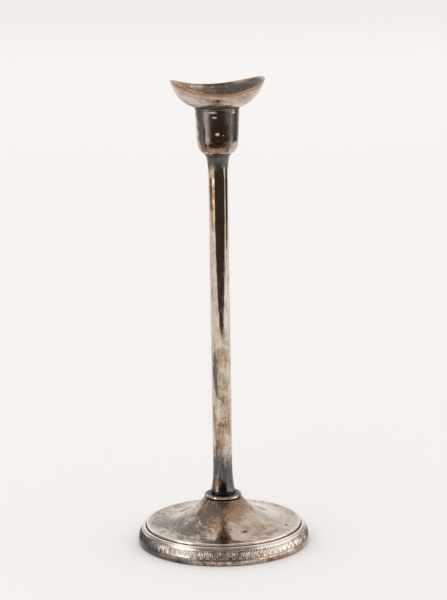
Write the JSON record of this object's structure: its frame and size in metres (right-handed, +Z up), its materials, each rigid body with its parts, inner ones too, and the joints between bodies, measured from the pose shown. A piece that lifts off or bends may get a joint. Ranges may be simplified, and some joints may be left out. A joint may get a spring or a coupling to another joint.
{
  "type": "altar candlestick",
  "caption": "Slim altar candlestick: weighted round foot with a stamped border, straight tube stem, cup socket, and a lift-off drip pan with a flaring wavy rim.",
  "frame": {"origin": "centre of the underside, on the surface that the candlestick stands on", "axes": "+Z up along the stem, +X to the right and +Y to the back, seen from the front"},
  "size_m": [0.108, 0.108, 0.2933],
  "materials": {
    "silver_plate": "old silver plate on brass, polished, with brown and slate tarnish",
    "tinned_brass": "tinned brass, dull",
    "steel": "plain steel, darkened",
    "plaster": "cast plaster, matt",
    "felt": "dark green wool felt"
  },
  "bodies": {
    "stand": {"felt_pad": "felt", "base_plate": "steel", "ballast": "plaster", "base_rim": "silver_plate", "ornament_band": "silver_plate", "step_ring": "silver_plate", "foot_dome": "silver_plate", "foot_collar": "silver_plate", "lower_nut": "steel", "lower_washer": "steel", "tie_rod": "steel", "lower_bush": "tinned_brass", "upper_bush": "tinned_brass", "stem_tube": "silver_plate", "upper_washer": "steel", "upper_nut": "steel", "socket_cup": "silver_plate"},
    "liner": {"socket_liner": "tinned_brass"},
    "pan": {"drip_pan": "silver_plate", "pan_sleeve": "silver_plate"}
  },
  "joints": [
    {"name": "liner_turn", "type": "hinge", "parent": "stand", "child": "liner", "pos_m": [0, 0, 0.2745], "axis": [0, 0, 1], "continuous": true},
    {"name": "pan_lift", "type": "slide", "parent": "liner", "child": "pan", "axis": [0, 0, 1], "range_m": [0, 0.03]}
  ]
}
